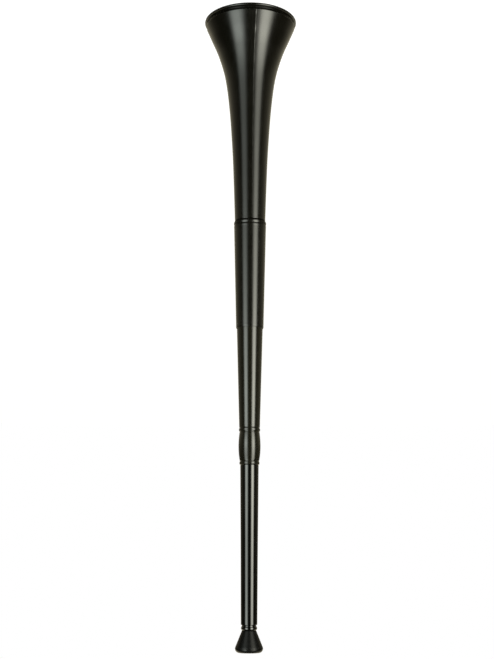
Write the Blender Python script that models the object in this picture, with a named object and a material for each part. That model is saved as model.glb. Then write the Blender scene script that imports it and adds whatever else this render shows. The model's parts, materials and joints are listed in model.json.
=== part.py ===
"""A collapsible stadium horn, standing on its bell.

Five plastic mouldings on one axis. The bell and the sleeve are pushed together and stay put.
The slide tube, the mouth pipe and the mouthpiece are pushed together too, and telescope into them.
Metres, +Z up. The origin is the centre of the bell's rim, in the plane that the horn stands on.
"""

import math

import bpy
from mathutils import Vector

# Overall
LENGTH = 0.711
SEGMENTS = 48
GAP = 0.0003  # kept between faces that touch on the real horn
EDGE = 0.0004  # break on the moulded edges
MERGE = 0.00001

# Bell
RIM_BEAD_R = 0.00145  # radius of the half-round bead round the rim
RIM_R = 0.0529  # outermost radius, at the middle of the bead
RIM_FLAT = 0.0044  # width of the flat that the horn stands on
FLARE_EDGE = (0.0511, 0.0069)  # (radius, height) of the crisp edge above the cove
COVE_R = 0.0490  # radius of the cove between that edge and the bead, at its foot
COVE_UNDERCUT = 0.0011  # the cove is deeper by this much at its foot than at its top
BELL_STATIONS = (  # (height, outer radius), from the bell's tube down to the flare's edge
    (0.2400, 0.01712),
    (0.1960, 0.01860),
    (0.1560, 0.02039),
    (0.1080, 0.02385),
    (0.0700, 0.02880),
    (0.0420, 0.03655),
    (0.0200, 0.04555),
    (FLARE_EDGE[1], FLARE_EDGE[0]),
)
BELL_WALL = 0.0012
WALL_FOOT_Z = 0.0120  # below here the wall is thicker, behind the cove
SHOULDER = 0.0009  # height of the step from the bell's tube down to its spigot
SPIGOT_TOP = 0.2605
SPIGOT_WALL = 0.0009

# Sleeve
SOCKET_END = 0.2412  # the sleeve's lower end, just clear of the bell's shoulder
SLEEVE_LIP = 0.3636
LIP_BAND = 0.0026  # the last stretch of the sleeve isn't tapered
LIP_ROUND, LIP_EASE = 0.0020, 0.00050  # height and depth of the lip's rounding
SLEEVE_R_LIP = 0.01519
SLEEVE_BORE_LOW = 0.01705
SLEEVE_BORE_LIP = 0.01460
SLEEVE_ROLLS = (  # (height, outer radius): low bead, fine groove and rounded end ring, downwards
    (0.2508, 0.01785),
    (0.2492, 0.01790),
    (0.2480, 0.01800),
    (0.2470, 0.01798),
    (0.2462, 0.01781),
    (0.2455, 0.01772),
    (0.2448, 0.01795),
    (0.2442, 0.01811),
    (0.2435, 0.01815),
    (0.2428, 0.01810),
    (0.2422, 0.01788),
    (0.2414, 0.01748),
    (0.2412, 0.01727),
)

# Slide tube and its boss
SLIDE_END = 0.3420  # the wide end, wedged inside the sleeve
SLIDE_R_END = 0.01470
SLIDE_R_LIP = 0.01430  # where it comes out of the sleeve's lip
SLIDE_TOP, SLIDE_R_TOP = 0.4736, 0.01124  # the narrow end, below the boss's lower bead
SLIDE_WALL = 0.0011
BEAD_R = 0.0060  # radius that the two beads are turned to
BEAD_LOW_REACH, BEAD_TOP_REACH = 14, 13  # degrees that each bead turns from its crest
BEAD_LOW_FOOT, BEAD_TOP_FOOT = 0.01060, 0.01005  # radius of the fine grooves beside each bead
GROOVE_HALF = 0.0004  # from the bead's side to the bottom of its groove
BEAD_LOW_Z, BEAD_LOW_R = 0.4761, 0.01155
NECK_LOW_Z, NECK_LOW_R = 0.4786, 0.01086
BOSS_Z, BOSS_R = 0.4940, 0.01195
NECK_TOP_Z, NECK_TOP_R = 0.5102, 0.01045
BEAD_TOP_Z, BEAD_TOP_R = 0.5122, 0.01085
BOSS_TOP, BOSS_TOP_R = 0.5140, 0.01020
SOCKET_STEP = 0.0009  # ledge at the bottom of the boss's socket

# Mouth pipe
PIPE_END = 0.4955  # the spigot's end, inside the boss
PIPE_TOP = 0.6824
PIPE_R_LOW = 0.00993
PIPE_R_MIDDLE = 0.00922
PIPE_R_TOP = 0.00872
PIPE_WALL = 0.0010
PIPE_STEP = 0.0008  # how far the spigot is turned down

# Mouthpiece
SHANK_END = 0.6640
SHANK_R = PIPE_R_TOP - PIPE_WALL - GAP
SHANK_BORE_R = 0.0054
THROAT_Z, THROAT_R, THROAT_LENGTH = 0.6915, 0.0042, 0.0040
COLLAR_R = 0.0076  # at the foot, where it meets the pipe
COLLAR_BEAD_Z, COLLAR_BEAD_R = 0.6859, 0.0086
COLLAR_BEAD_CURVE = 0.0024  # radius that the bead is turned to
COLLAR_BEAD_TURN = (38, -35)  # degrees that the bead turns up and down from its crest
COLLAR_NECK_R, COLLAR_NECK_HALF = 0.0075, 0.0001  # the groove between the bead and the cup
COLLAR_NECK_Z = 0.6880
CUP_FOOT_Z = 0.6890
CUP_FOOT_R = 0.0079  # the cone overhangs the collar
CUP_R = 0.0148
CUP_CORNER = 0.0043  # radius of the cup's outer corner
CUP_SLOPE = 22  # degrees between the cup's side and the axis
CUP_LIP = 0.0018  # radius of the inner edge of the cup's lip


def clear_scene():
    """Removes the objects that a new file starts with."""
    for obj in list(bpy.data.objects):
        bpy.data.objects.remove(obj, do_unlink=True)


def plastic(name, colour, roughness):
    """A Principled material for one moulding."""
    material = bpy.data.materials.new(name)
    material.use_nodes = True
    shader = material.node_tree.nodes["Principled BSDF"]
    shader.inputs["Base Color"].default_value = (*colour, 1.0)
    shader.inputs["Roughness"].default_value = roughness
    shader.inputs["Metallic"].default_value = 0.0
    return material


def arc(centre, radius, start, end, steps):
    """Points (r, z) on a circle, from one angle to another in degrees."""
    points = []
    for i in range(steps + 1):
        angle = math.radians(start + (end - start) * i / steps)
        points.append((centre[0] + radius * math.cos(angle), centre[1] + radius * math.sin(angle)))
    return points


def ring(crest_r, crest_z, reach, foot_r, steps=4):
    """A raised bead between two fine grooves, from its top side down."""
    crest = arc((crest_r - BEAD_R, crest_z), BEAD_R, reach, -reach, steps)
    top, bottom = crest[0][1] + GROOVE_HALF, crest[-1][1] - GROOVE_HALF
    return [(foot_r, top)] + crest + [(foot_r, bottom)]


def swell(top, crest, bottom, steps=4):
    """A swelling's outline (r, z): two parabolas that meet at the crest."""
    points = []
    for end, order in ((top, range(steps)), (bottom, range(steps, -1, -1))):
        for i in order:
            t = 1 - i / steps
            r = crest[0] + (end[0] - crest[0]) * t * t
            points.append((r, crest[1] + (end[1] - crest[1]) * t))
    return points


def rounded_end(outer_r, top_z, inner_r, foot_z, steps=4):
    """A tube's rounded end (r, z): a quarter of an ellipse, from its side down to its foot."""
    points = []
    for i in range(steps + 1):
        angle = math.radians(90 * i / steps)
        r = inner_r + (outer_r - inner_r) * math.cos(angle)
        points.append((r, top_z - (top_z - foot_z) * math.sin(angle)))
    return points


def smooth_line(stations, steps):
    """Points (r, z) on a Catmull-Rom curve through stations given as (z, r)."""
    knots = [Vector(s) for s in stations]
    ends = [2 * knots[0] - knots[1]] + knots + [2 * knots[-1] - knots[-2]]
    points = []
    for a, b, c, d in zip(ends, ends[1:], ends[2:], ends[3:]):
        for i in range(steps):
            t = i / steps
            p = 0.5 * (2 * b + (c - a) * t + (2 * a - 5 * b + 4 * c - d) * t**2
                       + (3 * b - a - 3 * c + d) * t**3)
            points.append((p[1], p[0]))
    points.append((knots[-1][1], knots[-1][0]))
    return points


def parallel_line(outline, distance):
    """The line at a distance inside an outline (r, z), point by point."""
    points = [Vector(p) for p in outline]
    sides = [(b - a).normalized() for a, b in zip(points, points[1:])]
    moved = []
    for a, b, side in zip(points, points[1:], sides):
        step = Vector((side[1], -side[0])) * distance
        moved.append((a + step, b + step))
    inner = [moved[0][0]]
    for first, second in zip(moved, moved[1:]):
        inner.append((first[1] + second[0]) / 2)
    inner.append(moved[-1][1])
    return [tuple(p) for p in inner]


def turned(name, outside, inside, material):
    """A hollow turned piece: outside runs down and inside runs up, both as (r, z)."""
    outline = outside + inside
    mesh = bpy.data.meshes.new(name)
    vertices = [(r, 0.0, z) for r, z in outline]
    edges = [(i, (i + 1) % len(outline)) for i in range(len(outline))]
    mesh.from_pydata(vertices, edges, [])
    mesh.materials.append(material)
    obj = bpy.data.objects.new(name, mesh)
    bpy.context.scene.collection.objects.link(obj)
    screw = obj.modifiers.new("turn", "SCREW")
    screw.axis = "Z"
    screw.angle = math.tau
    screw.steps = SEGMENTS
    screw.render_steps = SEGMENTS
    screw.use_merge_vertices = True
    screw.merge_threshold = MERGE
    screw.use_smooth_shade = True
    return obj


def sleeve_bore(z):
    """The sleeve's inner radius, which narrows evenly towards its lip."""
    t = (z - SOCKET_END) / (SLEEVE_LIP - SOCKET_END)
    return SLEEVE_BORE_LOW + (SLEEVE_BORE_LIP - SLEEVE_BORE_LOW) * t


def make_bell(material):
    """The flare with its rim bead, the bell's tube, and the spigot that the sleeve sits on."""
    spigot_foot = BELL_STATIONS[0][0] + SHOULDER
    top_r = sleeve_bore(SPIGOT_TOP) - GAP
    foot_r = sleeve_bore(spigot_foot) - GAP
    flare = smooth_line(BELL_STATIONS, 3)
    wall = [p for p in parallel_line(flare, BELL_WALL) if p[1] > WALL_FOOT_Z]
    bead_middle = RIM_R - RIM_BEAD_R
    outside = [(top_r, SPIGOT_TOP), (foot_r, spigot_foot)] + flare
    outside += [(COVE_R + COVE_UNDERCUT, FLARE_EDGE[1] - EDGE), (COVE_R, 2 * RIM_BEAD_R + EDGE)]
    outside += arc((bead_middle, RIM_BEAD_R), RIM_BEAD_R, 110, -90, 6)
    inside = [(bead_middle - RIM_FLAT, 0.0)] + wall[:0:-2]
    inside += [(foot_r - SPIGOT_WALL, spigot_foot), (top_r - SPIGOT_WALL, SPIGOT_TOP)]
    return turned("bell", outside, inside, material)


def make_sleeve(material):
    """The tapered tube above the bell: rounded lip, low bead, fine groove, and a ring at its end."""
    lip = rounded_end(SLEEVE_R_LIP, SLEEVE_LIP - LIP_ROUND, SLEEVE_R_LIP - LIP_EASE, SLEEVE_LIP, 3)
    outside = lip[::-1] + [(SLEEVE_R_LIP, SLEEVE_LIP - LIP_BAND)]
    outside += [(r, z) for z, r in SLEEVE_ROLLS]
    inside = [
        (SLEEVE_BORE_LOW, SOCKET_END),
        (sleeve_bore(SPIGOT_TOP), SPIGOT_TOP),
        (sleeve_bore(SLIDE_END), SLIDE_END),
        (SLEEVE_BORE_LIP, SLEEVE_LIP),
    ]
    return turned("sleeve", outside, inside, material)


def make_slide_tube(material):
    """The tube that telescopes into the sleeve, with the boss and its two beads."""
    socket_r = PIPE_R_LOW - PIPE_STEP + GAP
    socket_floor = PIPE_END - GAP
    outside = [(BOSS_TOP_R - EDGE, BOSS_TOP), (BOSS_TOP_R, BOSS_TOP - EDGE)]
    outside += ring(BEAD_TOP_R, BEAD_TOP_Z, BEAD_TOP_REACH, BEAD_TOP_FOOT)[1:]
    outside += swell((NECK_TOP_R, NECK_TOP_Z), (BOSS_R, BOSS_Z), (NECK_LOW_R, NECK_LOW_Z))
    outside += ring(BEAD_LOW_R, BEAD_LOW_Z, BEAD_LOW_REACH, BEAD_LOW_FOOT)
    outside += [(SLIDE_R_TOP, SLIDE_TOP), (SLIDE_R_LIP, SLEEVE_LIP), (SLIDE_R_END, SLIDE_END)]
    inside = [
        (SLIDE_R_END - SLIDE_WALL, SLIDE_END),
        (SLIDE_R_LIP - SLIDE_WALL, SLEEVE_LIP),
        (SLIDE_R_TOP - SLIDE_WALL, SLIDE_TOP),
        (socket_r - SOCKET_STEP, socket_floor),
        (socket_r, socket_floor),
        (socket_r, BOSS_TOP),
    ]
    return turned("slide_tube", outside, inside, material)


def make_mouth_pipe(material):
    """The thin glossy pipe, pushed into the boss and holding the mouthpiece's shank."""
    middle = (BOSS_TOP + PIPE_TOP) / 2
    shoulder = BOSS_TOP + GAP
    spigot_r = PIPE_R_LOW - PIPE_STEP
    outside = [(PIPE_R_TOP - EDGE, PIPE_TOP), (PIPE_R_TOP, PIPE_TOP - EDGE)]
    outside += [(PIPE_R_MIDDLE, middle), (PIPE_R_LOW, shoulder)]
    outside += [(spigot_r, shoulder), (spigot_r, PIPE_END)]
    inside = [
        (spigot_r - PIPE_WALL, PIPE_END),
        (spigot_r - PIPE_WALL, shoulder),
        (PIPE_R_MIDDLE - PIPE_WALL, middle),
        (PIPE_R_TOP - PIPE_WALL, SHANK_END),
        (PIPE_R_TOP - PIPE_WALL, PIPE_TOP),
    ]
    return turned("mouth_pipe", outside, inside, material)


def make_mouthpiece(material):
    """The cup with its rounded lip, the beaded collar, and the shank inside the pipe."""
    crest_r = CUP_R - CUP_CORNER
    collar_foot = PIPE_TOP + GAP
    outside = arc((crest_r, LENGTH - CUP_CORNER), CUP_CORNER, 90, -CUP_SLOPE, 6)
    outside += [(CUP_FOOT_R, CUP_FOOT_Z)]
    outside += [(COLLAR_NECK_R, COLLAR_NECK_Z + COLLAR_NECK_HALF)]
    outside += [(COLLAR_NECK_R, COLLAR_NECK_Z - COLLAR_NECK_HALF)]
    bead_centre = (COLLAR_BEAD_R - COLLAR_BEAD_CURVE, COLLAR_BEAD_Z)
    outside += arc(bead_centre, COLLAR_BEAD_CURVE, *COLLAR_BEAD_TURN, 5)
    outside += [(COLLAR_R, collar_foot + EDGE), (COLLAR_R, collar_foot)]
    outside += [(SHANK_R, collar_foot), (SHANK_R, SHANK_END)]
    inside = [
        (SHANK_BORE_R, SHANK_END),
        (THROAT_R, THROAT_Z - THROAT_LENGTH),
        (THROAT_R, THROAT_Z),
    ]
    bowl_r = crest_r - CUP_LIP
    bowl_depth = LENGTH - CUP_LIP - THROAT_Z
    for i in range(1, 7):
        angle = math.radians(15 * i)
        r = THROAT_R + (bowl_r - THROAT_R) * math.sin(angle)
        inside.append((r, THROAT_Z + bowl_depth * (1 - math.cos(angle))))
    inside += arc((crest_r, LENGTH - CUP_LIP), CUP_LIP, 180, 90, 3)[1:-1]
    return turned("mouthpiece", outside, inside, material)


def main():
    clear_scene()
    satin = plastic("satin_black", (0.012, 0.011, 0.009), 0.36)
    gloss = plastic("gloss_black", (0.006, 0.006, 0.005), 0.16)
    matt = plastic("matt_black", (0.016, 0.016, 0.014), 0.55)
    make_bell(satin)
    make_sleeve(satin)
    slide_axis = bpy.data.objects.new("slide_axis", None)
    bpy.context.scene.collection.objects.link(slide_axis)
    sliding = (make_slide_tube(satin), make_mouth_pipe(gloss), make_mouthpiece(matt))
    for obj in sliding:
        obj.parent = slide_axis


main()
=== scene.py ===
"""The looks of a collapsible stadium horn, standing on its bell.

Six black plastic surfaces on one axis: the bell and the sleeve stay put, and the slide tube, the
mouth pipe and the two parts of the mouthpiece telescope into them. Metres, +Z up.
"""

import json
import math

import bpy
import numpy as np
from mathutils import Matrix, Vector

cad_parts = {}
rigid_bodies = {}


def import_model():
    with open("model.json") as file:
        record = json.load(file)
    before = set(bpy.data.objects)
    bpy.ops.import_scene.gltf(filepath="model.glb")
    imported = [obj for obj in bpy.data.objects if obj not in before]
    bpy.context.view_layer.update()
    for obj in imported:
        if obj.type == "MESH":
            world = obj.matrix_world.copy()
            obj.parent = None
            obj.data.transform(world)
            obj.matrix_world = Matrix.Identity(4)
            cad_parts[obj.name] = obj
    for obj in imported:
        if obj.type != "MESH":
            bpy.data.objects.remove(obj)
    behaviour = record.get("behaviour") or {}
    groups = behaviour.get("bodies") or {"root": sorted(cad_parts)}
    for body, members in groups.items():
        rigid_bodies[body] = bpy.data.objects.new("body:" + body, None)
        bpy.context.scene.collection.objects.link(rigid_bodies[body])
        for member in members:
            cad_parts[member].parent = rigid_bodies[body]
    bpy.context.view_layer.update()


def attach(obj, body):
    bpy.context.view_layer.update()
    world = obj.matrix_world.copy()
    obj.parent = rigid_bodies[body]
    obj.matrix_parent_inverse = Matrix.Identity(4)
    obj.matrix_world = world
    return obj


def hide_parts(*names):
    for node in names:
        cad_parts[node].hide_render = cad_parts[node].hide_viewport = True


for leftover in list(bpy.data.objects):
    bpy.data.objects.remove(leftover, do_unlink=True)
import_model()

MM = 0.001

# ---------------------------------------------------------------- the horn's dimensions
LENGTH = 0.711
GAP = 0.0003  # between faces that touch
EDGE = 0.0004  # break on the moulded edges

# Bell
RIM_BEAD_R = 0.00145
RIM_R = 0.0529
RIM_FLAT = 0.0044  # width of the flat that the horn stands on
FLARE_EDGE_R, FLARE_EDGE_Z = 0.0511, 0.0069
COVE_R = 0.0490
COVE_UNDERCUT = 0.0011  # the cove is deeper by this much at its foot than at its top
BELL_STATIONS = (  # (height, outer radius)
    (0.2400, 0.01712),
    (0.1960, 0.01860),
    (0.1560, 0.02039),
    (0.1080, 0.02385),
    (0.0700, 0.02880),
    (0.0420, 0.03655),
    (0.0200, 0.04555),
    (FLARE_EDGE_Z, FLARE_EDGE_R),
)
BELL_WALL = 0.0012
WALL_FOOT_Z = 0.0120  # below here the wall is thicker, behind the cove
SHOULDER = 0.0009
SPIGOT_TOP = 0.2605
SPIGOT_WALL = 0.0009

# Sleeve
SOCKET_END = 0.2412
SLEEVE_LIP = 0.3636
LIP_BAND = 0.0026  # the last stretch isn't tapered
LIP_ROUND, LIP_EASE = 0.0020, 0.00050  # height and depth of the lip's rounding
SLEEVE_R_LIP = 0.01519
SLEEVE_BORE_LOW = 0.01705
SLEEVE_BORE_LIP = 0.01460
SLEEVE_ROLLS = (  # (height, outer radius): low bead, fine groove and rounded end ring, downwards
    (0.2508, 0.01785),
    (0.2492, 0.01790),
    (0.2480, 0.01800),
    (0.2470, 0.01798),
    (0.2462, 0.01781),
    (0.2455, 0.01772),
    (0.2448, 0.01795),
    (0.2442, 0.01811),
    (0.2435, 0.01815),
    (0.2428, 0.01810),
    (0.2422, 0.01788),
    (0.2414, 0.01748),
    (0.2412, 0.01727),
)

# Slide tube and its boss
SLIDE_END = 0.3420
SLIDE_R_END = 0.01470
SLIDE_R_LIP = 0.01430
SLIDE_TOP, SLIDE_R_TOP = 0.4736, 0.01124
SLIDE_WALL = 0.0011
BEAD_R = 0.0060
BEAD_LOW_REACH, BEAD_TOP_REACH = 14, 13  # degrees that each bead turns from its crest
BEAD_LOW_FOOT, BEAD_TOP_FOOT = 0.01060, 0.01005  # radius of the fine grooves beside each bead
GROOVE_HALF = 0.0004
BEAD_LOW_Z, BEAD_LOW_R = 0.4761, 0.01155
NECK_LOW_Z, NECK_LOW_R = 0.4786, 0.01086
BOSS_Z, BOSS_R = 0.4940, 0.01195
NECK_TOP_Z, NECK_TOP_R = 0.5102, 0.01045
BEAD_TOP_Z, BEAD_TOP_R = 0.5122, 0.01085
BOSS_TOP, BOSS_TOP_R = 0.5140, 0.01020
SOCKET_STEP = 0.0009

# Mouth pipe
PIPE_END = 0.4955
PIPE_TOP = 0.6824
PIPE_R_LOW = 0.00993
PIPE_R_MIDDLE = 0.00922
PIPE_R_TOP = 0.00872
PIPE_WALL = 0.0010
PIPE_STEP = 0.0008

# Mouthpiece
SHANK_END = 0.6640
SHANK_R = PIPE_R_TOP - PIPE_WALL - GAP
SHANK_BORE_R = 0.0054
THROAT_Z, THROAT_R, THROAT_LENGTH = 0.6915, 0.0042, 0.0040
COLLAR_R = 0.0076
COLLAR_BEAD_Z, COLLAR_BEAD_R = 0.6859, 0.0086
COLLAR_BEAD_CURVE = 0.0024
COLLAR_BEAD_TURN = (38, -35)  # degrees that the bead turns up and down from its crest
COLLAR_NECK_R, COLLAR_NECK_HALF = 0.0075, 0.0001  # the groove between the bead and the cup
COLLAR_NECK_Z = 0.6880
CUP_FOOT_Z = 0.6890
CUP_FOOT_R = 0.0079
CUP_R = 0.0148
CUP_CORNER = 0.0043
CUP_SLOPE = 22  # degrees
CUP_LIP = 0.0018
LIP_POLISH = ((LENGTH - 0.0050, 0.0), (LENGTH - 0.0036, 1.6))  # (height, how worn)
NECK_INSET, NECK_FLOOR = 0.0008, 0.0005  # the hidden face where the cup sits on the collar
COLLAR_TOP_R, COLLAR_TOP_Z = THROAT_R + 0.0004, THROAT_Z - 0.0006  # hidden under the cup

# The mould's parting lines: (azimuth in degrees from -Y towards -X, height, half width)
PARTING_LINES = ((7.0, 0.00008, 0.00032), (187.0, 0.00006, 0.00030))
TORN_SPOTS = ((0.0275, 0.0022, 1.8), (0.0100, 0.0012, 1.4))  # (height, half length, extra flash)
MOULD_STEP, MOULD_STEP_FADE = 0.00002, 0.0022  # one half of the mould sat this much lower

# Mesh
COLUMNS = 180
ROW = 0.0026  # longest step between rows
SUPPORT = 0.00025  # a row this close to each rounded corner keeps its neighbours flat
FACES_OUT = 0.2  # relief goes only where the surface faces away from the axis more than this
LINE_CLEAR = 3.0  # degrees beside a parting line where its own close columns are used
LINE_COLUMNS = (-0.85, -0.55, -0.38, -0.24, -0.12, 0.0, 0.12, 0.24, 0.38, 0.55, 0.85)  # mm


# ---------------------------------------------------------------- outlines, as (r, z)
def arc(centre, radius, start, end, steps):
    """Points on a circle, from one angle to another in degrees."""
    points = []
    for i in range(steps + 1):
        angle = math.radians(start + (end - start) * i / steps)
        points.append((centre[0] + radius * math.cos(angle), centre[1] + radius * math.sin(angle)))
    return points


def swell(top, crest, bottom, steps):
    """A swelling: two parabolas that meet at the crest."""
    points = []
    for end, order in ((top, range(steps)), (bottom, range(steps, -1, -1))):
        for i in order:
            t = 1 - i / steps
            r = crest[0] + (end[0] - crest[0]) * t * t
            points.append((r, crest[1] + (end[1] - crest[1]) * t))
    return points


def rounded_end(outer_r, top_z, inner_r, foot_z, steps):
    """A tube's rounded end: a quarter of an ellipse, from its side down to its foot."""
    points = []
    for i in range(steps + 1):
        angle = math.radians(90 * i / steps)
        r = inner_r + (outer_r - inner_r) * math.cos(angle)
        points.append((r, top_z - (top_z - foot_z) * math.sin(angle)))
    return points


def ring(crest_r, crest_z, reach, foot_r, steps=8):
    """A raised bead between two fine grooves, from its top side down."""
    crest = arc((crest_r - BEAD_R, crest_z), BEAD_R, reach, -reach, steps)
    top, bottom = crest[0][1] + GROOVE_HALF, crest[-1][1] - GROOVE_HALF
    return [(foot_r, top)] + crest + [(foot_r, bottom)]


def smooth_line(stations, steps):
    """A Catmull-Rom curve through stations given as (z, r)."""
    knots = [Vector(s) for s in stations]
    ends = [2 * knots[0] - knots[1]] + knots + [2 * knots[-1] - knots[-2]]
    points = []
    for a, b, c, d in zip(ends, ends[1:], ends[2:], ends[3:]):
        for i in range(steps):
            t = i / steps
            p = 0.5 * (2 * b + (c - a) * t + (2 * a - 5 * b + 4 * c - d) * t**2
                       + (3 * b - a - 3 * c + d) * t**3)
            points.append((p[1], p[0]))
    points.append((knots[-1][1], knots[-1][0]))
    return points


def parallel_line(outline, distance):
    """The line at a distance inside an outline, point by point."""
    points = [Vector(p) for p in outline]
    inner = []
    for i, p in enumerate(points):
        side = (points[min(i + 1, len(points) - 1)] - points[max(i - 1, 0)]).normalized()
        inner.append((p[0] + side[1] * distance, p[1] - side[0] * distance))
    return inner


def corners(outline, fillet=0.0):
    """Gives every point of an outline the same fillet radius: (r, z, fillet)."""
    return [(r, z, fillet) for r, z in outline]


def rounded(points, steps=4):
    """A closed outline (r, z, edge) with its corners filleted; edge is 1 on the fillets."""
    outline = []
    for i, (r, z, radius) in enumerate(points):
        here = Vector((r, z))
        if radius == 0.0:
            outline.append((r, z, 0.0))
            continue
        back = Vector(points[i - 1][:2]) - here
        ahead = Vector(points[(i + 1) % len(points)][:2]) - here
        reach = radius / math.tan(back.angle(ahead) / 2)
        reach = min(reach, 0.45 * back.length, 0.45 * ahead.length)
        back_room, ahead_room = back.length - 2 * reach, ahead.length - 2 * reach
        first, last = here + back.normalized() * reach, here + ahead.normalized() * reach
        if back_room > 2 * SUPPORT:
            outline.append((*(first + back.normalized() * SUPPORT), 0.0))
        for k in range(steps + 1):
            t = k / steps
            p = first * (1 - t) ** 2 + here * 2 * t * (1 - t) + last * t**2
            outline.append((p[0], p[1], 1.0))
        if ahead_room > 2 * SUPPORT:
            outline.append((*(last + ahead.normalized() * SUPPORT), 0.0))
    return outline


def with_rows(outline, longest):
    """Splits the long sides of a closed outline evenly."""
    points = []
    for a, b in zip(outline, outline[1:] + outline[:1]):
        parts = max(1, math.ceil(math.dist(a[:2], b[:2]) / longest))
        points.append(a)
        for k in range(1, parts):
            t = k / parts
            points.append((a[0] + (b[0] - a[0]) * t, a[1] + (b[1] - a[1]) * t, 0.0))
    return points


# ---------------------------------------------------------------- turning an outline
def wander(x, seed):
    """An irregular line between about -1 and 1, the same on every run."""
    return (np.sin(x + 1.7 * seed) + 0.6 * np.sin(2.3 * x + 2.9 * seed + 1.0)
            + 0.4 * np.sin(5.1 * x + 4.1 * seed)) / 2


def turned(name, points, body, nodes, material, longest=ROW, relief=None, lines=()):
    """Turns a closed outline (r, z, fillet), outside down and inside up, into a hollow piece.

    relief(r, z, azimuth, out) gives how far each point stands proud of the turned shape.
    lines are azimuths that get close columns, for a parting line.
    """
    outline = with_rows(rounded(points), longest)
    r = np.array([p[0] for p in outline])[:, None]
    z = np.array([p[1] for p in outline])[:, None]
    edge = np.array([p[2] for p in outline])[:, None]

    columns = []
    for k in range(COLUMNS):
        azimuth = math.tau * k / COLUMNS
        away = [abs((azimuth - math.radians(a) + math.pi) % math.tau - math.pi) for a in lines]
        if all(d > math.radians(LINE_CLEAR) for d in away):
            columns.append((azimuth, 0.0))
    for a in lines:
        columns += [(math.radians(a) % math.tau, step * MM) for step in LINE_COLUMNS]
    columns.sort()
    base = np.array([c[0] for c in columns])[None, :]
    step = np.array([c[1] for c in columns])[None, :]
    azimuth = base + step / r

    along = np.roll(np.hstack((r, z)), -1, 0) - np.roll(np.hstack((r, z)), 1, 0)
    along /= np.maximum(np.linalg.norm(along, axis=1, keepdims=True), 1e-9)
    out_r, out_z = -along[:, 1:2], along[:, 0:1]
    radius, height = r + 0 * azimuth, z + 0 * azimuth
    if relief:
        proud = relief(radius, height, azimuth, out_r + 0 * azimuth)
        radius, height = radius + proud * out_r, height + proud * out_z
    x, y = -radius * np.sin(azimuth), -radius * np.cos(azimuth)
    vertices = np.stack((x, y, height), -1).reshape(-1, 3)

    rows, count = azimuth.shape
    faces = []
    for i in range(rows):
        j = (i + 1) % rows
        for k in range(count):
            m = (k + 1) % count
            faces.append((i * count + k, i * count + m, j * count + m, j * count + k))
    mesh = bpy.data.meshes.new(name)
    mesh.from_pydata(vertices.tolist(), [], faces)
    mesh.materials.append(material)
    mesh.polygons.foreach_set("use_smooth", [True] * len(faces))
    worn = (edge + 0 * azimuth).ravel().astype(np.float32)
    mesh.attributes.new("edge", "FLOAT", "POINT").data.foreach_set("value", worn)
    mesh.update()
    piece = bpy.data.objects.new(name, mesh)
    bpy.context.scene.collection.objects.link(piece)
    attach(piece, body)
    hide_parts(*nodes)
    return piece


def between(x, stops):
    """Smoothly joins stops (x, value)."""
    if x <= stops[0][0]:
        return stops[0][1]
    for (x0, v0), (x1, v1) in zip(stops, stops[1:]):
        if x <= x1:
            t = (x - x0) / (x1 - x0)
            return v0 + (v1 - v0) * t * t * (3 - 2 * t)
    return stops[-1][1]


def moulding_ripple(size, length, seed):
    """The slight waviness of a moulded tube: depth, and the length of one wave."""

    def relief(r, z, azimuth, out):
        wave = wander(z / length + 2 * np.sin(azimuth), seed) * wander(2 * azimuth, seed + 1)
        return size * wave * (out > FACES_OUT)

    return relief


def bell_relief(r, z, azimuth, out):
    """Waviness, and the flash and small step where the two halves of the mould met."""
    proud = moulding_ripple(0.000018, 0.022, 1.0)(r, z, azimuth, out)
    above = np.clip((z - 0.0012) / 0.0010, 0, 1)  # the flat under the rim stays flat
    above = above * (out > FACES_OUT) * (z < BELL_STATIONS[0][0])
    torn = 1.0
    for middle, half, extra in TORN_SPOTS:
        torn = torn + extra * np.exp(-(((z - middle) / half) ** 2))
    fade = np.clip(1.15 - z / 0.26, 0.3, 1)  # the flash gets lower along the tube
    for line, height, half in PARTING_LINES:
        turn = (azimuth - math.radians(line) + math.pi) % math.tau - math.pi
        across = turn * r + 0.00006 * wander(z / 0.004, line)
        ragged = 0.62 + 0.38 * wander(z / 0.0026, line + 3)
        flash = height * fade * ragged * torn * np.exp(-((across / half) ** 2))
        step = 0.5 * (1 + np.tanh(across / 0.0001))
        step = step * np.exp(-np.maximum(across, 0) / MOULD_STEP_FADE)
        proud = proud + above * (flash - MOULD_STEP * step)
    return proud


# ---------------------------------------------------------------- finishes
SMUDGE_SIZE = 14 * MM  # a fingertip's mark
WEAR_SIZE = 1.6 * MM  # the patches in which an edge is rubbed


def linear(code):
    """An sRGB hex colour as linear RGBA."""
    channels = [int(code[i : i + 2], 16) / 255 for i in (1, 3, 5)]
    return (*(c / 12.92 if c <= 0.04045 else ((c + 0.055) / 1.055) ** 2.4 for c in channels), 1.0)


def add(tree, kind, inputs=None, **settings):
    """Adds a node with its settings; each input gets a value or a link from a socket."""
    node = tree.nodes.new(kind)
    for name, value in settings.items():
        setattr(node, name, value)
    for name, value in (inputs or {}).items():
        if isinstance(value, bpy.types.NodeSocket):
            tree.links.new(value, node.inputs[name])
        else:
            node.inputs[name].default_value = value
    return node


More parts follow.
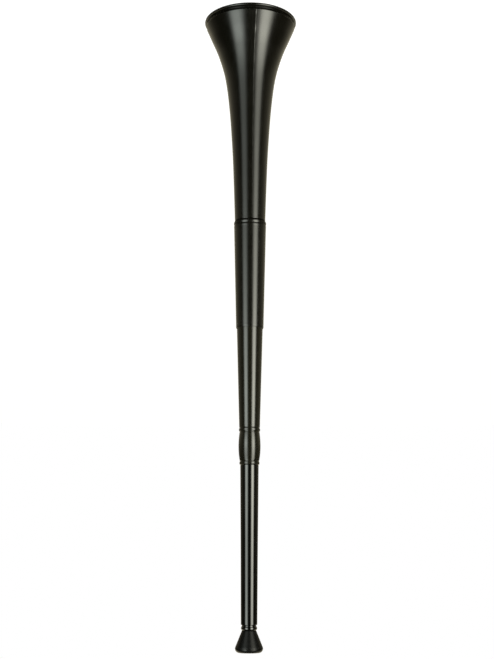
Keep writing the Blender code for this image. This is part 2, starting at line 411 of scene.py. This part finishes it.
def plastic(name, colour, scuffed, ior, roughness, peel, streaks, grain, shine=0.5, rubbed=0.18):
    """An injection-moulded black plastic.

    colour and scuffed are its fresh and its rubbed colour. roughness is (lowest, highest).
    peel and grain are (size, depth) of the skin's orange peel and of the mould's texture.
    streaks is (width, length) of the flow and rub marks, which run along the horn.
    shine is 0.5 for a whole surface, and less for one whose pits hide part of its reflection.
    rubbed is the change of roughness on rubbed edges.
    """
    material = bpy.data.materials.new(name)
    material.use_nodes = True
    tree = material.node_tree
    shader = tree.nodes["Principled BSDF"]
    shader.inputs["IOR"].default_value = ior
    shader.inputs["Specular IOR Level"].default_value = shine
    shader.inputs["Metallic"].default_value = 0.0
    place = add(tree, "ShaderNodeTexCoord").outputs["Object"]
    edge = add(tree, "ShaderNodeAttribute", attribute_name="edge").outputs["Fac"]

    # flow marks and rub marks along the horn
    drawn = add(tree, "ShaderNodeMapping",
                {"Vector": place, "Scale": (1 / streaks[0], 1 / streaks[0], 1 / streaks[1])})
    flow = add(tree, "ShaderNodeTexNoise",
               {"Vector": drawn.outputs["Vector"], "Scale": 1.0, "Detail": 5.0, "Roughness": 0.6})
    # smudges from hands
    smudge = add(tree, "ShaderNodeTexNoise",
                 {"Vector": place, "Scale": 1 / SMUDGE_SIZE, "Detail": 3.0, "Roughness": 0.55})
    both = add(tree, "ShaderNodeMath",
               {0: flow.outputs["Fac"], 1: smudge.outputs["Fac"]}, operation="ADD")
    rough = add(tree, "ShaderNodeMapRange",
                {"Value": both.outputs[0], "From Min": 0.7, "From Max": 1.3,
                 "To Min": roughness[0], "To Max": roughness[1]})

    # wear on the edges, broken up by a fine noise
    break_up = add(tree, "ShaderNodeTexNoise",
                   {"Vector": place, "Scale": 1 / WEAR_SIZE, "Detail": 4.0, "Roughness": 0.7})
    bare = add(tree, "ShaderNodeMapRange",
               {"Value": break_up.outputs["Fac"], "From Min": 0.48, "From Max": 0.66})
    wear = add(tree, "ShaderNodeMath", {0: edge, 1: bare.outputs["Result"]}, operation="MULTIPLY")
    worn = add(tree, "ShaderNodeMath",
               {0: wear.outputs[0], 1: rubbed, 2: rough.outputs["Result"]},
               operation="MULTIPLY_ADD")
    tree.links.new(worn.outputs[0], shader.inputs["Roughness"])

    # the pigment is even; smudges and worn edges are a little lighter
    pale = add(tree, "ShaderNodeMapRange",
               {"Value": smudge.outputs["Fac"], "From Min": 0.45, "From Max": 0.8, "To Max": 0.35})
    mixed = add(tree, "ShaderNodeMath",
                {0: wear.outputs[0], 1: pale.outputs["Result"]}, operation="MAXIMUM")
    tint = add(tree, "ShaderNodeMix",
               {"Factor": mixed.outputs[0], 6: linear(colour), 7: linear(scuffed)},
               data_type="RGBA")
    tree.links.new(tint.outputs[2], shader.inputs["Base Color"])

    # the skin: orange peel, then the mould's own texture on top. The real texture is finer than
    # 0.1 mm, which wouldn't show, so it is drawn several times coarser.
    soft = add(tree, "ShaderNodeTexNoise",
               {"Vector": place, "Scale": 1 / peel[0], "Detail": 2.0, "Roughness": 0.5})
    skin = add(tree, "ShaderNodeBump", {"Height": soft.outputs["Fac"], "Distance": peel[1]})
    fine = add(tree, "ShaderNodeTexNoise",
               {"Vector": place, "Scale": 1 / grain[0], "Detail": 3.0, "Roughness": 0.6})
    texture = add(tree, "ShaderNodeBump",
                  {"Height": fine.outputs["Fac"], "Distance": grain[1],
                   "Normal": skin.outputs["Normal"]})
    tree.links.new(texture.outputs["Normal"], shader.inputs["Normal"])
    return material


# Polypropylene, injection-moulded in a stoned steel mould: a waxy satin black, whose highlights
# have soft edges and run a little uneven along the flow.
satin_polypropylene = plastic(
    "satin_moulded_polypropylene", "#0A0906", "#100F0C", 1.49, (0.17, 0.23),
    peel=(2.0 * MM, 0.016 * MM), streaks=(2.5 * MM, 60 * MM), grain=(0.45 * MM, 0.003 * MM))

# The same polypropylene on the tube that slides: rubbed by the sleeve, so it shines harder.
burnished_polypropylene = plastic(
    "burnished_moulded_polypropylene", "#11100A", "#12110D", 1.49, (0.13, 0.18),
    peel=(2.0 * MM, 0.010 * MM), streaks=(1.0 * MM, 80 * MM), grain=(0.45 * MM, 0.002 * MM))

# High-impact polystyrene from a polished mould: a clear, hard-edged gloss.
gloss_polystyrene = plastic(
    "gloss_moulded_polystyrene", "#030302", "#11100E", 1.59, (0.08, 0.13),
    peel=(3.0 * MM, 0.010 * MM), streaks=(1.2 * MM, 45 * MM), grain=(0.5 * MM, 0.001 * MM))

# ABS from a spark-eroded mould: an even, fine-grained matt black with no clear reflection. Its
# worn places are smoother than the rest, so its lip shines.
matt_abs = plastic(
    "spark_eroded_abs", "#040404", "#0E0E0C", 1.52, (0.33, 0.40),
    peel=(1.8 * MM, 0.010 * MM), streaks=(1.5 * MM, 12 * MM), grain=(0.30 * MM, 0.008 * MM),
    shine=0.16, rubbed=-0.28)


# ---------------------------------------------------------------- the pieces
def sleeve_bore(z):
    """The sleeve's inner radius, which narrows evenly towards its lip."""
    t = (z - SOCKET_END) / (SLEEVE_LIP - SOCKET_END)
    return SLEEVE_BORE_LOW + (SLEEVE_BORE_LIP - SLEEVE_BORE_LOW) * t


def make_bell():
    """The flare with its cove and rim bead, and the tube that ends in the hidden spigot."""
    spigot_foot = BELL_STATIONS[0][0] + SHOULDER
    top_r, foot_r = sleeve_bore(SPIGOT_TOP) - GAP, sleeve_bore(spigot_foot) - GAP
    flare = smooth_line(BELL_STATIONS, 18)
    wall = [p for p in parallel_line(flare, BELL_WALL) if p[1] > WALL_FOOT_Z]
    bead_middle = RIM_R - RIM_BEAD_R
    cove_top, cove_foot = FLARE_EDGE_Z - EDGE, 2 * RIM_BEAD_R + EDGE
    end = rounded_end(flare[0][0], flare[0][1] + EDGE, foot_r, spigot_foot, 8)
    points = [(top_r, SPIGOT_TOP, EDGE)] + corners(end[::-1])
    points += corners(flare[:-1]) + [(*flare[-1], EDGE)]
    points += [(COVE_R + COVE_UNDERCUT, cove_top, EDGE / 2), (COVE_R, cove_foot, EDGE / 2)]
    points += corners(arc((bead_middle, RIM_BEAD_R), RIM_BEAD_R, 110, -90, 18))
    points += [(bead_middle - RIM_FLAT, 0.0, EDGE)]
    points += corners(wall[::-1]) + [(foot_r - SPIGOT_WALL, spigot_foot, 0.0)]
    points += [(top_r - SPIGOT_WALL, SPIGOT_TOP, EDGE / 2)]
    turned("bell_moulding", points, "horn", ["bell"], satin_polypropylene,
           relief=bell_relief, lines=[line[0] for line in PARTING_LINES])


def make_sleeve():
    """The tapered sleeve: rounded lip, low bead, fine groove, and a ring at its end."""
    lip = rounded_end(SLEEVE_R_LIP, SLEEVE_LIP - LIP_ROUND, SLEEVE_R_LIP - LIP_EASE, SLEEVE_LIP, 8)
    points = corners(lip[::-1]) + [(SLEEVE_R_LIP, SLEEVE_LIP - LIP_BAND, 0.0)]
    points += corners(smooth_line(SLEEVE_ROLLS, 4))
    points += [
        (SLEEVE_BORE_LOW, SOCKET_END, 0.0),
        (sleeve_bore(SPIGOT_TOP), SPIGOT_TOP, 0.0),
        (sleeve_bore(SLIDE_END), SLIDE_END, 0.0),
        (SLEEVE_BORE_LIP, SLEEVE_LIP, EDGE / 2),
    ]
    turned("sleeve_moulding", points, "horn", ["sleeve"], satin_polypropylene,
           relief=moulding_ripple(0.000012, 0.018, 2.0))


def make_slide_tube():
    """The tube that telescopes into the sleeve, with its swelling boss between two beads."""
    socket_r, socket_floor = PIPE_R_LOW - PIPE_STEP + GAP, PIPE_END - GAP
    points = [(BOSS_TOP_R, BOSS_TOP, EDGE)]
    points += corners(ring(BEAD_TOP_R, BEAD_TOP_Z, BEAD_TOP_REACH, BEAD_TOP_FOOT)[1:])
    points += corners(
        swell((NECK_TOP_R, NECK_TOP_Z), (BOSS_R, BOSS_Z), (NECK_LOW_R, NECK_LOW_Z), 12))
    points += corners(ring(BEAD_LOW_R, BEAD_LOW_Z, BEAD_LOW_REACH, BEAD_LOW_FOOT))
    points += [
        (SLIDE_R_TOP, SLIDE_TOP, EDGE),
        (SLIDE_R_LIP, SLEEVE_LIP, 0.0),
        (SLIDE_R_END, SLIDE_END, EDGE),
        (SLIDE_R_END - SLIDE_WALL, SLIDE_END, EDGE / 2),
        (SLIDE_R_LIP - SLIDE_WALL, SLEEVE_LIP, 0.0),
        (SLIDE_R_TOP - SLIDE_WALL, SLIDE_TOP, 0.0),
        (socket_r - SOCKET_STEP, socket_floor, 0.0),
        (socket_r, socket_floor, 0.0),
        (socket_r, BOSS_TOP, EDGE / 2),
    ]
    turned("slide_tube_moulding", points, "slide", ["slide_tube"],
           burnished_polypropylene, relief=moulding_ripple(0.000012, 0.015, 3.0))


def make_mouth_pipe():
    """The thin glossy pipe between the boss and the mouthpiece."""
    middle, shoulder = (BOSS_TOP + PIPE_TOP) / 2, BOSS_TOP + GAP
    spigot_r = PIPE_R_LOW - PIPE_STEP
    points = [
        (PIPE_R_TOP, PIPE_TOP, EDGE),
        (PIPE_R_MIDDLE, middle, 0.0),
        (PIPE_R_LOW, shoulder, EDGE),
        (spigot_r, shoulder, 0.0),
        (spigot_r, PIPE_END, EDGE),
        (spigot_r - PIPE_WALL, PIPE_END, EDGE / 2),
        (spigot_r - PIPE_WALL, shoulder, 0.0),
        (PIPE_R_MIDDLE - PIPE_WALL, middle, 0.0),
        (PIPE_R_TOP - PIPE_WALL, SHANK_END, 0.0),
        (PIPE_R_TOP - PIPE_WALL, PIPE_TOP, EDGE / 2),
    ]
    turned("mouth_pipe_moulding", points, "slide", ["mouth_pipe"],
           gloss_polystyrene, relief=moulding_ripple(0.000010, 0.020, 4.0))


def make_mouthpiece():
    """The matt cup, and the glossy beaded collar under it with the shank inside the pipe."""
    crest_r = CUP_R - CUP_CORNER
    collar_foot = PIPE_TOP + GAP
    bowl_r, bowl_depth = crest_r - CUP_LIP, LENGTH - CUP_LIP - THROAT_Z

    cup = corners(arc((crest_r, LENGTH - CUP_CORNER), CUP_CORNER, 90, -CUP_SLOPE, 18))
    cup += [(CUP_FOOT_R, CUP_FOOT_Z, EDGE), (COLLAR_NECK_R, COLLAR_NECK_Z + COLLAR_NECK_HALF, 0.0)]
    cup += [(COLLAR_NECK_R - NECK_INSET, COLLAR_NECK_Z + COLLAR_NECK_HALF, 0.0)]
    cup += [(THROAT_R, THROAT_Z - NECK_FLOOR, 0.0), (THROAT_R, THROAT_Z, EDGE / 2)]
    for i in range(1, 19):
        angle = math.radians(5 * i)
        r = THROAT_R + (bowl_r - THROAT_R) * math.sin(angle)
        cup.append((r, THROAT_Z + bowl_depth * (1 - math.cos(angle)), 0.0))
    cup += corners(arc((crest_r, LENGTH - CUP_LIP), CUP_LIP, 180, 90, 10)[1:-1])
    piece = turned("mouthpiece_cup", cup, "slide", ["mouthpiece"], matt_abs,
                   longest=0.0012, relief=moulding_ripple(0.000008, 0.006, 5.0))
    # the lip has been polished by use
    for vertex, worn in zip(piece.data.vertices, piece.data.attributes["edge"].data):
        worn.value = max(worn.value, between(vertex.co.z, LIP_POLISH))

    bead_centre = (COLLAR_BEAD_R - COLLAR_BEAD_CURVE, COLLAR_BEAD_Z)
    collar = [(COLLAR_NECK_R, COLLAR_NECK_Z, 0.0)]
    collar += [(COLLAR_NECK_R, COLLAR_NECK_Z - COLLAR_NECK_HALF, 0.0)]
    collar += corners(arc(bead_centre, COLLAR_BEAD_CURVE, *COLLAR_BEAD_TURN, 14))
    collar += [
        (COLLAR_R, collar_foot + EDGE, 0.0),
        (COLLAR_R, collar_foot, 0.0),
        (SHANK_R, collar_foot, 0.0),
        (SHANK_R, SHANK_END, EDGE / 2),
        (SHANK_BORE_R, SHANK_END, EDGE / 2),
        (THROAT_R, THROAT_Z - THROAT_LENGTH, 0.0),
        (THROAT_R, COLLAR_TOP_Z, 0.0),
        (COLLAR_TOP_R, COLLAR_NECK_Z, 0.0),
    ]
    turned("mouthpiece_collar", collar, "slide", ["mouthpiece"], gloss_polystyrene,
           longest=0.0020)


make_bell()
make_sleeve()
make_slide_tube()
make_mouth_pipe()
make_mouthpiece()


# ---------------------------------------------------------------- studio
def around(azimuth, distance, height):
    """A point at an azimuth in degrees from -Y towards -X."""
    angle = math.radians(azimuth)
    return Vector((-distance * math.sin(angle), -distance * math.cos(angle), height))


def softbox(name, across, up, colour, distance=0.85):
    """A tall curved diffuser round the horn, bright in the middle and fading to its edges.

    across is its brightness by azimuth in degrees, and up is its radiance by height.
    """
    columns = [across[0][0] + i * (across[-1][0] - across[0][0]) / 40 for i in range(41)]
    heights = [up[0][0] + i * (up[-1][0] - up[0][0]) / 48 for i in range(49)]
    vertices = [around(azimuth, distance, z) for z in heights for azimuth in columns]
    glow = [between(azimuth, across) * between(z, up) for z in heights for azimuth in columns]
    faces = []
    for i in range(len(heights) - 1):
        for k in range(len(columns) - 1):
            a = i * len(columns) + k
            faces.append((a, a + 1, a + 1 + len(columns), a + len(columns)))
    mesh = bpy.data.meshes.new(name)
    mesh.from_pydata(vertices, [], faces)
    mesh.attributes.new("glow", "FLOAT", "POINT").data.foreach_set("value", glow)
    diffuser = bpy.data.materials.new(name)
    diffuser.use_nodes = True
    tree = diffuser.node_tree
    tree.nodes.clear()
    level = add(tree, "ShaderNodeAttribute", attribute_name="glow").outputs["Fac"]
    lit = add(tree, "ShaderNodeEmission", {"Color": linear(colour), "Strength": level})
    add(tree, "ShaderNodeOutputMaterial", {"Surface": lit.outputs["Emission"]})
    mesh.materials.append(diffuser)
    panel = bpy.data.objects.new(name, mesh)
    bpy.context.scene.collection.objects.link(panel)
    panel.visible_camera = False
    panel.visible_shadow = False
    return panel


softbox("left_box", across=((-62, 0), (-44, 1), (-33, 1), (-12, 0)),
        up=((-0.35, 0.0), (-0.06, 1.5), (0.10, 2.6), (0.30, 5.7), (0.37, 7.6), (0.50, 5.3),
            (0.64, 4.3), (0.75, 5.0), (1.20, 8.0), (1.70, 0.0)), colour="#F7FFF5")
softbox("right_box", across=((16, 0), (36, 1), (46, 1), (65, 0)),
        up=((-0.35, 0.0), (-0.06, 3.5), (0.10, 5.8), (0.30, 9.8), (0.37, 11.2), (0.50, 9.2),
            (0.64, 7.4), (0.75, 6.6), (1.20, 8.0), (1.70, 0.0)), colour="#FFFFEF")

world = bpy.data.worlds.new("studio")
bpy.context.scene.world = world
world.use_nodes = True
sky = world.node_tree
backdrop = sky.nodes["Background"]
look = add(sky, "ShaderNodeTexCoord").outputs["Generated"]
apart = add(sky, "ShaderNodeSeparateXYZ", {"Vector": look})


def ramp(value, start, end, low, high):
    """A smooth step of a value, from low at start to high at end."""
    step = add(sky, "ShaderNodeMapRange",
               {"Value": value, "From Min": start, "From Max": end, "To Min": low, "To Max": high},
               interpolation_type="SMOOTHSTEP")
    return step.outputs["Result"]


def combined(first, second, operation):
    """Two values joined by a math operation."""
    return add(sky, "ShaderNodeMath", {0: first, 1: second}, operation=operation).outputs[0]


# the room behind the horn is brightest in a band below the horizon, and a patch above and
# behind it lights the edges that face up
behind = ramp(apart.outputs["Y"], -0.7, 1.0, 0.02, 0.56)
band = combined(ramp(apart.outputs["Z"], -0.52, -0.34, 0.03, 1.0),
                ramp(apart.outputs["Z"], -0.28, 0.12, 1.0, 0.10), "MULTIPLY")
above = combined(apart.outputs["Y"], apart.outputs["Z"], "ADD")
upper = combined(ramp(above, 0.85, 1.05, 0.0, 1.2),
                 ramp(apart.outputs["Z"], 0.78, 0.90, 1.0, 0.0), "MULTIPLY")
around_horn = combined(combined(behind, band, "MULTIPLY"), upper, "MAXIMUM")
seen = add(sky, "ShaderNodeLightPath").outputs["Is Camera Ray"]
strength = add(sky, "ShaderNodeMix", {"Factor": seen, 2: around_horn, 3: 1.0})
tone = add(sky, "ShaderNodeMix",
           {"Factor": seen, 6: linear("#FFF6D6"), 7: linear("#FFFFFF")}, data_type="RGBA")
sky.links.new(tone.outputs[2], backdrop.inputs["Color"])
sky.links.new(strength.outputs[0], backdrop.inputs["Strength"])

PAPER = 4.0  # half the width of the sheet of paper under the horn
paper_corners = [(-PAPER, -PAPER, 0), (PAPER, -PAPER, 0), (PAPER, PAPER, 0), (-PAPER, PAPER, 0)]
floor_mesh = bpy.data.meshes.new("floor")
floor_mesh.from_pydata(paper_corners, [], [(0, 1, 2, 3)])
paper = bpy.data.materials.new("lit_white_paper")
paper.use_nodes = True
page = paper.node_tree
sheet = page.nodes["Principled BSDF"]
sheet.inputs["Base Color"].default_value = linear("#7C7C7A")
sheet.inputs["Roughness"].default_value = 0.9
sheet.inputs["Emission Color"].default_value = linear("#FFFFFF")
sheet.inputs["Emission Strength"].default_value = 0.93
# from below, the paper lets the horn be seen
under = add(page, "ShaderNodeNewGeometry").outputs["Backfacing"]
see_through = add(page, "ShaderNodeBsdfTransparent").outputs["BSDF"]
either = add(page, "ShaderNodeMixShader", {0: under, 1: sheet.outputs["BSDF"], 2: see_through})
page.links.new(either.outputs[0], page.nodes["Material Output"].inputs["Surface"])
floor_mesh.materials.append(paper)
floor = bpy.data.objects.new("floor", floor_mesh)
bpy.context.scene.collection.objects.link(floor)
floor.visible_glossy = False
floor.visible_diffuse = False
floor.visible_shadow = False

# ---------------------------------------------------------------- camera
CAMERA_X, CAMERA_DISTANCE, CAMERA_HEIGHT = 0.0031, 1.300, 0.622
CAMERA_PITCH = 11.20  # degrees down
CAMERA_ROLL = 180.17  # upside down: the bell is at the top
LENS, SENSOR_WIDTH = 65.39, 36.0  # mm
camera_data = bpy.data.cameras.new("camera")
camera_data.sensor_width = SENSOR_WIDTH
camera_data.lens = LENS
camera = bpy.data.objects.new("camera", camera_data)
bpy.context.scene.collection.objects.link(camera)
camera.matrix_world = (
    Matrix.Translation((CAMERA_X, -CAMERA_DISTANCE, CAMERA_HEIGHT))
    @ Matrix.Rotation(math.radians(90 - CAMERA_PITCH), 4, "X")
    @ Matrix.Rotation(math.radians(CAMERA_ROLL), 4, "Z")
)
bpy.context.scene.camera = camera
bpy.context.scene.view_settings.view_transform = "Standard"
bpy.context.scene.view_settings.look = "None"
